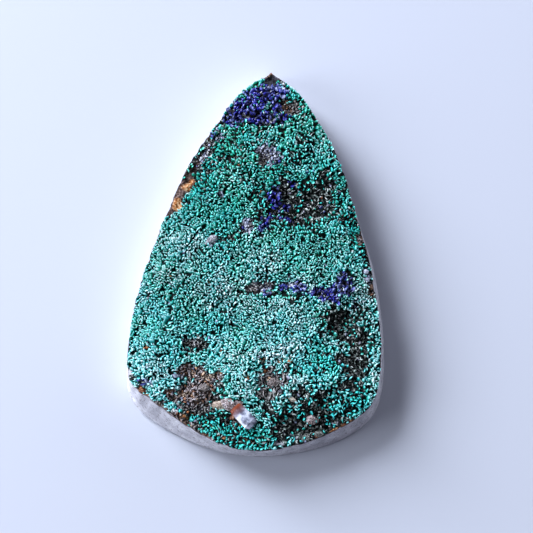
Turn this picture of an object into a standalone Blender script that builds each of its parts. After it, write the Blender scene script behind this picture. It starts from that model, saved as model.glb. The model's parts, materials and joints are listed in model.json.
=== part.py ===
"""A pear-cut stone: a slice of pale quartz rock with a natural crust of azurite and malachite on top.

The stone is one piece. Its back is sawn flat, its side is ground with a slight lean, and its top is left
as it grew: malachite points over most of it, patches of larger azurite crystals, hollows down to dark
iron oxide and one grain of quartz standing out of the crust. All lengths are in millimetres until the
mesh is written. +Y points to the tip, +Z up, and the origin is under the middle of the flat back.
"""

import math

import bmesh
import bpy
import numpy as np
from mathutils import Vector
from mathutils.geometry import delaunay_2d_cdt

MM = 0.001

# ---- Driving dimensions ----
RIM_HEIGHT = 5.1  # back to the crust's edge
DOME = 1.1  # how much higher the crust stands away from its edge
DOME_REACH = 3.0  # distance from the edge over which it rises
RIPPLE = 0.10  # slow ups and downs of the crust
RIM_UNEVEN = 0.25  # how much the crust's edge wavers
BACK_CHAMFER = 0.5  # ground edge between the back and the side
CRYSTAL_PITCH = 1.12  # spacing of the crust's crystal points
SHAKE = 0.42  # how far a crystal may sit off the even net, as a share of the spacing
RIM_CLEARANCE = 0.55  # how far the points keep from the crust's edge, as a share of the spacing
RIM_SPACING = 0.95  # spacing of the points round the outline

# Outline of the stone at its widest, clockwise from the tip: x, y, and how far the side leans in above it.
OUTLINE = (
    (-0.3, 24.9, 0.4),
    (3.7, 22.1, 0.4),
    (5.7, 19.4, 0.4),
    (8.0, 16.1, 0.4),
    (9.8, 12.6, 0.4),
    (11.2, 9.1, 0.5),
    (12.9, 4.4, 0.6),
    (14.5, 0.0, 0.8),
    (15.5, -4.5, 0.8),
    (16.2, -9.2, 0.7),
    (16.4, -14.0, 0.8),
    (15.9, -17.5, 0.9),
    (14.4, -20.0, 1.2),
    (10.5, -22.6, 1.2),
    (5.3, -24.3, 0.7),
    (0.8, -24.9, 0.5),
    (-3.4, -24.7, 0.7),
    (-7.7, -23.5, 1.3),
    (-12.3, -21.4, 1.9),
    (-15.3, -19.2, 1.7),
    (-16.4, -16.5, 0.6),
    (-16.4, -12.2, 0.3),
    (-15.9, -6.4, 0.3),
    (-14.4, -0.1, 0.3),
    (-12.5, 6.1, 0.3),
    (-10.1, 12.3, 0.3),
    (-7.1, 17.3, 0.3),
    (-4.2, 21.6, 0.3),
    (-0.3, 24.9, 0.4),
)

# Swells and hollows of the crust: x, y, half-length, half-width, turn in degrees, height.
SWELLS = (
    (-2.2, 19.8, 4.2, 2.6, 20, 0.35),  # azurite by the tip
    (1.0, 13.5, 4.0, 4.0, 0, 0.25),
    (8.2, 2.2, 5.0, 3.2, -20, 0.20),
    (-9.3, -3.0, 3.6, 6.0, -10, 0.25),
    (4.2, -7.8, 4.8, 2.8, 3, 0.40),  # rounded mass under the azurite band
    (-12.3, -12.0, 2.8, 3.6, 0, 0.25),
    (4.9, 7.5, 3.4, 2.6, -27, -0.50),  # hollow with azurite round it
    (5.6, -3.7, 5.6, 0.8, 2, -0.40),  # groove that holds the azurite band
    (10.9, -7.4, 2.2, 2.6, 0, -0.45),
    (12.7, -12.6, 1.6, 3.8, 5, -0.40),
    (-5.9, -6.9, 2.0, 0.5, 43, -0.70),  # crack
    (-6.3, -10.9, 1.0, 0.5, 0, -0.60),
    (-7.8, -11.7, 1.6, 1.2, 0, -0.35),
    (-4.9, -13.6, 2.4, 0.8, 0, -0.30),
    (-6.4, -16.9, 3.8, 2.4, -5, -0.70),  # brown hollow
    (1.7, -16.1, 1.6, 2.2, 0, -0.55),
    (6.4, -20.8, 3.4, 1.5, 13, -0.50),
    (8.9, -18.3, 2.8, 1.5, 23, -0.35),
    (-10.6, 8.3, 4.2, 1.1, 64, -0.90),  # chipped edge with orange stain
    (-0.2, 23.3, 1.7, 1.2, 0, -0.70),  # bare facet at the tip
)

# Where each mineral shows: x, y, half-length, half-width, turn in degrees.
AZURITE = (
    (-3.0, 19.3, 3.3, 2.0, 22),
    (-0.4, 21.8, 1.8, 1.5, 35),
    (-1.0, 17.7, 1.7, 0.8, 0),
    (3.3, 9.7, 0.6, 0.5, 20),
    (0.9, 7.9, 0.6, 0.9, -17),
    (0.4, 4.5, 1.0, 0.6, 43),
    (2.7, 5.2, 1.0, 0.7, -37),
    (3.0, -3.8, 2.2, 0.6, 0),
    (7.0, -3.9, 2.4, 0.6, -4),
    (9.9, -3.4, 1.5, 1.1, 20),
)
IRON_OXIDE = (
    (4.9, 7.5, 3.4, 2.4, -27),
    (10.9, -7.4, 2.0, 2.3, 0),
    (12.7, -12.6, 1.4, 3.4, 5),
    (-7.8, -11.7, 1.4, 1.0, 0),
    (-6.4, -16.9, 3.4, 2.2, -5),
    (1.7, -16.1, 1.5, 2.0, 0),
    (6.4, -20.8, 3.2, 1.3, 13),
    (-10.6, 8.3, 3.9, 0.9, 64),
    (-0.2, 23.3, 1.4, 0.9, 0),
    (0.3, -3.9, 1.7, 0.6, 5),
)

# Height of a crystal point above the gaps round it.
MALACHITE_POINT = 0.42
AZURITE_POINT = 0.75
IRON_OXIDE_POINT = 0.20
POINT_SPREAD = (0.65, 1.25)  # lowest and highest point, as shares of its mineral's height
GAP_DEPTH = 0.12

# The ground side, from the back up: share of the lean reached, and height.
SIDE_LEVELS = ((0.0, BACK_CHAMFER), (0.45, 0.5 * RIM_HEIGHT), (0.85, RIM_HEIGHT - 0.9))

# The quartz grain: a six-sided stub lying in the crust.
QUARTZ_PLACE = (-0.7, -20.3)
QUARTZ_RADIUS = 1.0
QUARTZ_LENGTH = 2.4
QUARTZ_TURN = -38
QUARTZ_ROLL = 12
QUARTZ_FLATNESS = 0.8
QUARTZ_STANDS = -0.1  # its axis against the crust round it
QUARTZ_RINGS = ((-0.50, 0.92), (0.42, 1.0), (0.58, 0.45))  # place along the length, and size

# A face counts as crust where it lies above the lip and isn't upright.
LIP = 0.6  # below the crust's edge
UPRIGHT = 0.05  # vertical part of a face's normal

SEED = 11
FINE_POINTS = 1200  # points that trace the outline before it is divided evenly


def spline(points, count):
    """Reads count points from a Catmull-Rom curve through the given ones, both ends included."""
    points = np.asarray(points, float)
    ends = np.vstack([2 * points[0] - points[1], points, 2 * points[-1] - points[-2]])
    place = np.linspace(0, len(points) - 1, count)
    span = np.minimum(place.astype(int), len(points) - 2)
    t = (place - span)[:, None]
    a, b, c, d = (ends[span + i] for i in range(4))
    return 0.5 * (2 * b + (c - a) * t + (2 * a - 5 * b + 4 * c - d) * t**2 + (3 * b - a - 3 * c + d) * t**3)


def evenly(points, spacing):
    """Divides an open line into equal steps of about the spacing, leaving out its last point."""
    steps = np.linalg.norm(np.diff(points[:, :2], axis=0), axis=1)
    along = np.concatenate([[0], np.cumsum(steps)])
    wanted = np.linspace(0, along[-1], round(along[-1] / spacing) + 1)[:-1]
    return np.column_stack([np.interp(wanted, along, column) for column in points.T])


def outlines():
    """Matching rings of points: the flat back, the stone's widest outline and the crust's edge."""
    ring = evenly(spline(OUTLINE, FINE_POINTS), RIM_SPACING)
    wide, lean = ring[:, :2], ring[:, 2:]
    wide = wide - (wide.min(0) + wide.max(0)) / 2
    tangent = np.roll(wide, -1, axis=0) - np.roll(wide, 1, axis=0)
    tangent /= np.linalg.norm(tangent, axis=1)[:, None]
    inward = np.column_stack([tangent[:, 1], -tangent[:, 0]])
    return wide + inward * BACK_CHAMFER, wide, wide + inward * lean


def nearness(x, y, patches):
    """For each patch, how deep a point lies in its ellipse: 0 at the middle, 1 on the edge, more outside."""
    found = []
    for cx, cy, half_length, half_width, turn in (patch[:5] for patch in patches):
        c, s = math.cos(math.radians(turn)), math.sin(math.radians(turn))
        u = ((x - cx) * c + (y - cy) * s) / half_length
        v = ((y - cy) * c - (x - cx) * s) / half_width
        found.append(np.hypot(u, v))
    return np.array(found)


def crust_height(x, y, edge):
    """Height of the crust without its crystals: a dome rising from the edge, with its swells and hollows."""
    gap = np.stack([x, y], -1)[..., None, :] - edge
    inside = np.linalg.norm(gap, axis=-1).min(-1)
    dome = DOME * (1 - np.exp(-inside / DOME_REACH))
    shares = np.exp(-(nearness(x, y, SWELLS) ** 4))
    heights = np.array([swell[5] for swell in SWELLS])
    swells = np.tensordot(heights, shares, axes=1) * (1 - np.exp(-inside))
    ripple = RIPPLE * np.sin(0.9 * x + 0.5 * y) * np.sin(0.7 * y - 0.4 * x + 1.0)
    return RIM_HEIGHT + dome + swells + ripple * (1 - np.exp(-inside))


def crystal_sites(edge, rng):
    """Places of the crystal points: a hexagonal net, shaken, kept clear of the crust's edge."""
    reach = np.abs(edge).max(0) + CRYSTAL_PITCH
    row_step = CRYSTAL_PITCH * math.sqrt(3) / 2
    rows = np.arange(-reach[1], reach[1], row_step)
    columns = np.arange(-reach[0], reach[0], CRYSTAL_PITCH)
    x, y = np.meshgrid(columns, rows)
    x = x + (np.arange(len(rows)) % 2)[:, None] * CRYSTAL_PITCH / 2
    net = np.column_stack([x.ravel(), y.ravel()])
    net += rng.uniform(-SHAKE, SHAKE, net.shape) * CRYSTAL_PITCH
    return net[within(net, edge) & (distance(net, edge) > RIM_CLEARANCE * CRYSTAL_PITCH)]


def within(points, ring):
    """True for each point inside a closed ring, by counting the sides that a ray towards +X crosses."""
    x, y = points[:, :1], points[:, 1:]
    x1, y1 = ring.T
    x2, y2 = np.roll(ring, -1, axis=0).T
    spans = (y1 > y) != (y2 > y)
    crossing = x1 + (y - y1) * (x2 - x1) / np.where(y2 == y1, 1e-9, y2 - y1)
    return (spans & (x < crossing)).sum(1) % 2 == 1


def distance(points, ring):
    """Distance from each point to the nearest corner of the ring."""
    return np.linalg.norm(points[:, None] - ring[None], axis=2).min(1)


def point_heights(sites, rng):
    """How far each crystal point stands out, by the mineral that it is, no two alike."""
    azure = nearness(*sites.T, AZURITE).min(0) < 1
    iron = nearness(*sites.T, IRON_OXIDE).min(0) < 1
    stands = np.where(azure, AZURITE_POINT, np.where(iron, IRON_OXIDE_POINT, MALACHITE_POINT))
    return stands * rng.uniform(*POINT_SPREAD, len(sites))


def crust_faces(edge, rng):
    """The crust's corners and triangles. Each crystal is a fan of flat faces round its point, and its foot
    runs through the middles of the triangles that the crystal points make with their neighbours."""
    sites = np.vstack([edge, crystal_sites(edge, rng)])
    rim_count = len(edge)
    ring_sides = [(i, (i + 1) % rim_count) for i in range(rim_count)]
    plan = [Vector(site) for site in sites]
    _, _, triangles, *_ = delaunay_2d_cdt(plan, ring_sides, [], 1, 1e-6)
    triangles = np.array([tri for tri in triangles if within(sites[list(tri)].mean(0)[None], edge)[0]])

    feet = sites[triangles].mean(1)
    x, y = sites.T
    top = crust_height(x, y, edge) + np.append(np.zeros(rim_count), point_heights(sites[rim_count:], rng))
    top[:rim_count] = RIM_HEIGHT + rng.uniform(-RIM_UNEVEN, RIM_UNEVEN, rim_count)
    foot_z = crust_height(*feet.T, edge) - GAP_DEPTH
    corners = np.vstack([np.column_stack([sites, top]), np.column_stack([feet, foot_z])])

    sides = {}
    for index, triangle in enumerate(triangles):
        for a, b in zip(triangle, np.roll(triangle, -1)):
            sides.setdefault(frozenset((int(a), int(b))), []).append((int(a), int(b), index + len(sites)))
    faces = []
    for owners in sides.values():
        a, b, first = owners[0]
        if len(owners) == 1:
            faces.append((a, b, first))
        else:
            second = owners[1][2]
            faces += [(a, second, first), (b, first, second)]
    return corners, faces, rim_count


def slab_rings(back, wide, edge):
    """Rings of the ground side from the back up to under the crust, each as points with their height."""
    rings = [np.column_stack([back, np.zeros(len(back))])]
    for share, height in SIDE_LEVELS:
        rings.append(np.column_stack([wide + (edge - wide) * share, np.full(len(wide), height)]))
    return rings


def stone_mesh():
    """The closed mesh of the whole stone: crust, side and back."""
    rng = np.random.default_rng(SEED)
    back, wide, edge = outlines()
    corners, faces, count = crust_faces(edge, rng)
    mesh = bmesh.new()
    verts = [mesh.verts.new(corner) for corner in corners]
    for face in faces:
        mesh.faces.new([verts[i] for i in face])
    above = verts[:count]
    for ring in reversed(slab_rings(back, wide, edge)):
        below = [mesh.verts.new(point) for point in ring]
        for i in range(count):
            j = (i + 1) % count
            mesh.faces.new((above[i], above[j], below[j], below[i]))
        above = below
    mesh.faces.new(above)
    bmesh.ops.triangulate(mesh, faces=[f for f in mesh.faces if len(f.verts) > 3])
    bmesh.ops.recalc_face_normals(mesh, faces=mesh.faces)
    return mesh, edge


def quartz_mesh(edge):
    """A six-sided crystal stub with a chisel end, lying on its side and half sunk in the crust."""
    mesh = bmesh.new()
    rings = []
    for along, size in QUARTZ_RINGS:
        turns = [math.radians(60 * k + QUARTZ_ROLL) for k in range(6)]
        radius = size * QUARTZ_RADIUS
        points = [
            (along * QUARTZ_LENGTH, math.cos(turn) * radius, math.sin(turn) * radius * QUARTZ_FLATNESS)
            for turn in turns
        ]
        rings.append([mesh.verts.new(point) for point in points])
    for low, high in zip(rings, rings[1:]):
        for k in range(6):
            n = (k + 1) % 6
            mesh.faces.new((low[k], low[n], high[n], high[k]))
    mesh.faces.new(rings[0])
    mesh.faces.new(rings[-1])
    bmesh.ops.recalc_face_normals(mesh, faces=mesh.faces)
    x, y = QUARTZ_PLACE
    turn = math.radians(QUARTZ_TURN)
    height = float(crust_height(np.array([x]), np.array([y]), edge)[0]) + QUARTZ_STANDS
    for vert in mesh.verts:
        px, py, pz = vert.co
        vert.co = (
            x + px * math.cos(turn) - py * math.sin(turn),
            y + px * math.sin(turn) + py * math.cos(turn),
            height + pz,
        )
    return mesh


def mineral(name, colour, roughness):
    """A plain Principled material of the mineral's colour, given as linear red, green and blue."""
    made = bpy.data.materials.new(name)
    made.use_nodes = True
    shader = made.node_tree.nodes["Principled BSDF"]
    shader.inputs["Base Color"].default_value = (*colour, 1)
    shader.inputs["Roughness"].default_value = roughness
    shader.inputs["Metallic"].default_value = 0.0
    return made


def to_object(mesh, name, materials):
    """Writes a mesh in millimetres as an object in metres."""
    bmesh.ops.scale(mesh, vec=(MM, MM, MM), verts=mesh.verts)
    data = bpy.data.meshes.new(name)
    mesh.to_mesh(data)
    mesh.free()
    for material in materials:
        data.materials.append(material)
    made = bpy.data.objects.new(name, data)
    bpy.context.scene.collection.objects.link(made)
    return made


def colour_by_mineral(stone):
    """Gives each face the material of the mineral that it is: slab, malachite, azurite or iron oxide."""
    for face in stone.data.polygons:
        x, y, z = (value / MM for value in face.center)
        spot = (np.array([x]), np.array([y]))
        if z < RIM_HEIGHT - LIP or face.normal.z < UPRIGHT:
            face.material_index = 0
        elif nearness(*spot, AZURITE).min() < 1:
            face.material_index = 2
        elif nearness(*spot, IRON_OXIDE).min() < 1:
            face.material_index = 3
        else:
            face.material_index = 1


def main():
    for old in list(bpy.data.objects):
        bpy.data.objects.remove(old)
    minerals = [
        mineral("quartz_rock", (0.52, 0.52, 0.58), 0.55),
        mineral("malachite", (0.07, 0.32, 0.30), 0.60),
        mineral("azurite", (0.03, 0.04, 0.30), 0.35),
        mineral("iron_oxide", (0.05, 0.04, 0.04), 0.80),
    ]
    mesh, edge = stone_mesh()
    stone = to_object(mesh, "stone", minerals)
    colour_by_mineral(stone)

    quartz = to_object(quartz_mesh(edge), "quartz_grain", [mineral("quartz", (0.62, 0.62, 0.70), 0.30)])
    quartz.hide_render = True
    quartz.display_type = "WIRE"
    joined = stone.modifiers.new("quartz_grown_in", "BOOLEAN")
    joined.operation = "UNION"
    joined.solver = "EXACT"
    joined.object = quartz


main()
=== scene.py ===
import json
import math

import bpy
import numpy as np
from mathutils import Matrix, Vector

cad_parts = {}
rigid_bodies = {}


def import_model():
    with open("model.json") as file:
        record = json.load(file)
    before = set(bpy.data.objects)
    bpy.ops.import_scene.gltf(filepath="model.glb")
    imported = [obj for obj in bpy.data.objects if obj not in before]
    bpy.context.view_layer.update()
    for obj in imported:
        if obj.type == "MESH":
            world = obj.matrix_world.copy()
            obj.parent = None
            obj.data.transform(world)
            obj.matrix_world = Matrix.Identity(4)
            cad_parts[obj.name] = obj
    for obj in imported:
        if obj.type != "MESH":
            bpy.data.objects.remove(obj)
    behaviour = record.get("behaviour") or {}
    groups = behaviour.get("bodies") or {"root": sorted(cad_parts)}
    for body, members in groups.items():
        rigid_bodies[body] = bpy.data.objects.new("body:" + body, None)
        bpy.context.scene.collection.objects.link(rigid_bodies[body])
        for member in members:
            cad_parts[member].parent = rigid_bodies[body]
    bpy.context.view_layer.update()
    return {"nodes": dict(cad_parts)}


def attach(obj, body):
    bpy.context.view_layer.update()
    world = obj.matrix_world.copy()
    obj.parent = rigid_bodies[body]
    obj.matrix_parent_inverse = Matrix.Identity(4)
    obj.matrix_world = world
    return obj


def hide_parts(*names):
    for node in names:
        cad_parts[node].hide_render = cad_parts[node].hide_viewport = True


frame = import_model()

# %% [markdown]
# # A stone with a crust of azurite and malachite
# The real thing is a slice of pale quartz rock, cut to a pear and sawn flat at the back. Its top was
# left as it grew: a druse, which is a crust of thousands of tiny crystals. Most are green malachite,
# some are blue azurite, and grey and brown iron minerals show where the crust is thin.
#
# The solid model has the shape of the cut stone and a coarse crust. A close look at a druse needs every
# crystal, so this lesson grows them one by one on the solid's own surface, as arrays of numbers.

MM = 0.001  # every length below is in millimetres until a mesh is made
TURN = 2 * math.pi
rng = np.random.default_rng(7)

found = np.empty(3 * len(frame["nodes"]["stone"].data.vertices))
frame["nodes"]["stone"].data.vertices.foreach_get("co", found)
solid = found.reshape(-1, 3) / MM
print("solid:", len(solid), "corners,", np.ptp(solid, axis=0).round(1), "mm")

# %% [markdown]
# ## The outline, read from the solid
# The side was ground on a wheel: one smooth band that leans in towards the crust. It could be drawn
# again as a curve, but the solid already holds it as rings of points at set heights. Sorting a ring by
# its angle, reading it at even angles and smoothing the result gives a closed curve, and following two
# rings upwards gives the line where the crust begins.

# %% The stone's outline
CHAMFER_TOP = 0.5  # height of the widest ring
SIDE_TOP = 4.2  # height of the ring under the crust
SIDE_SHARE = 0.85  # share of its lean that the side has taken there
RIM_HEIGHT = 5.1  # where the crust begins
LEVEL_WITHIN = 0.01  # a point belongs to a ring when its height is this close
AROUND = 640  # columns of the stone's grid
SMOOTHED = 4  # columns each way over which a ring is rounded
TIP_TURN = 0.1  # the outline keeps its point within this angle of the tip
angles = np.linspace(0, TURN, AROUND, endpoint=False)
east, north = np.cos(angles), np.sin(angles)


def rounded(reach, columns):
    """The mean of a closed curve over a window that many columns wide each way."""
    return np.mean([np.roll(reach, shift) for shift in range(-columns, columns + 1)], axis=0)


def ring_at(height):
    """Distance from the middle to the ring at a height, at each angle: the ring's polygon, rounded over
    a few columns each way except near the tip, where a bell curve of the angle brings back the sharp
    corner."""
    on = solid[np.abs(solid[:, 2] - height) < LEVEL_WITHIN]
    turn = np.arctan2(on[:, 1], on[:, 0])
    order = np.argsort(turn)
    reach = np.interp(angles, turn[order], np.hypot(*on[order, :2].T), period=TURN)
    tip = np.exp(-(((angles - TURN / 4) / TIP_TURN) ** 2))
    return tip * reach + (1 - tip) * rounded(reach, SMOOTHED)


wide = ring_at(CHAMFER_TOP)
rim = wide + (ring_at(SIDE_TOP) - wide) / SIDE_SHARE
back = ring_at(0.0)
print("outline:", wide.min().round(1), "to", wide.max().round(1), "mm from the middle")

# %% [markdown]
# ## Smooth chance
# Nothing on a stone is even. One random field serves everywhere: random numbers on a square net,
# blended between the net's corners. Its one setting is the net's width in millimetres, so each use says
# how big its lumps are. A noise texture would do the same in a shader, but here the mesh needs the
# numbers.

# %% A random field
NET = 256  # knots along each side of the net


def ripple(x, y, width, seed):
    """A smooth field from -1 to 1: four random corner values, mixed by the S-curve 3t^2 - 2t^3 of how
    far the point lies across its square."""
    knots = np.random.default_rng(seed).uniform(-1, 1, (NET, NET))
    u, v = x / width, y / width
    i, j = np.floor(u).astype(int), np.floor(v).astype(int)
    s, t = (3 * f**2 - 2 * f**3 for f in (u - i, v - j))
    low = knots[i % NET, j % NET] * (1 - s) + knots[(i + 1) % NET, j % NET] * s
    high = knots[i % NET, (j + 1) % NET] * (1 - s) + knots[(i + 1) % NET, (j + 1) % NET] * s
    return low * (1 - t) + high * t


print("random field: spread", ripple(rim * east, rim * north, 1.0, 0).std().round(2), "around 0")

# %% [markdown]
# ## The broken edge
# Where the wheel met the crust, small flakes broke off. The edge is the rim less a bite that the random
# field sets: nothing along half of the way, and up to a sixth of a millimetre in the notches.

# %% The crust's edge
NOTCH = 0.16
BITES = ((1.1, 1.0, 31), (0.42, 0.6, 32))  # width, share, seed
bite = sum(share * ripple(rim * east, rim * north, width, seed) for width, share, seed in BITES)
edge = rim - NOTCH * np.clip(bite, 0, 1)


def edge_at(x, y):
    """Distance from the middle to the crust's edge, in the direction of a point."""
    return np.interp(np.arctan2(y, x), angles, edge, period=TURN)


def inside(x, y):
    """How far a point lies inside the crust's edge, measured on the line from the middle, in mm."""
    return edge_at(x, y) - np.hypot(x, y)


print("edge: notched up to", (rim - edge).max().round(2), "mm deep")

# %% [markdown]
# ## Where each mineral grew
# The minerals lie in patches, and so do the crust's moods: chalk is where it is powdery, moss and deep
# are where its green is darker, dark is a hollow and thin the open crust round it. Ash and rust are
# grey and brown rock grown over with weathered grains, tan and ochre are limonite, and stained, slate
# and bare are rock with nothing on it.
#
# Each patch is an ellipse on the plan of the stone, given as its middle, its half-length, its
# half-width and its turn, and the random field frays its edge. Painting them by hand would look as
# good, but numbers can be moved by half a millimetre and tried again.

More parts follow.
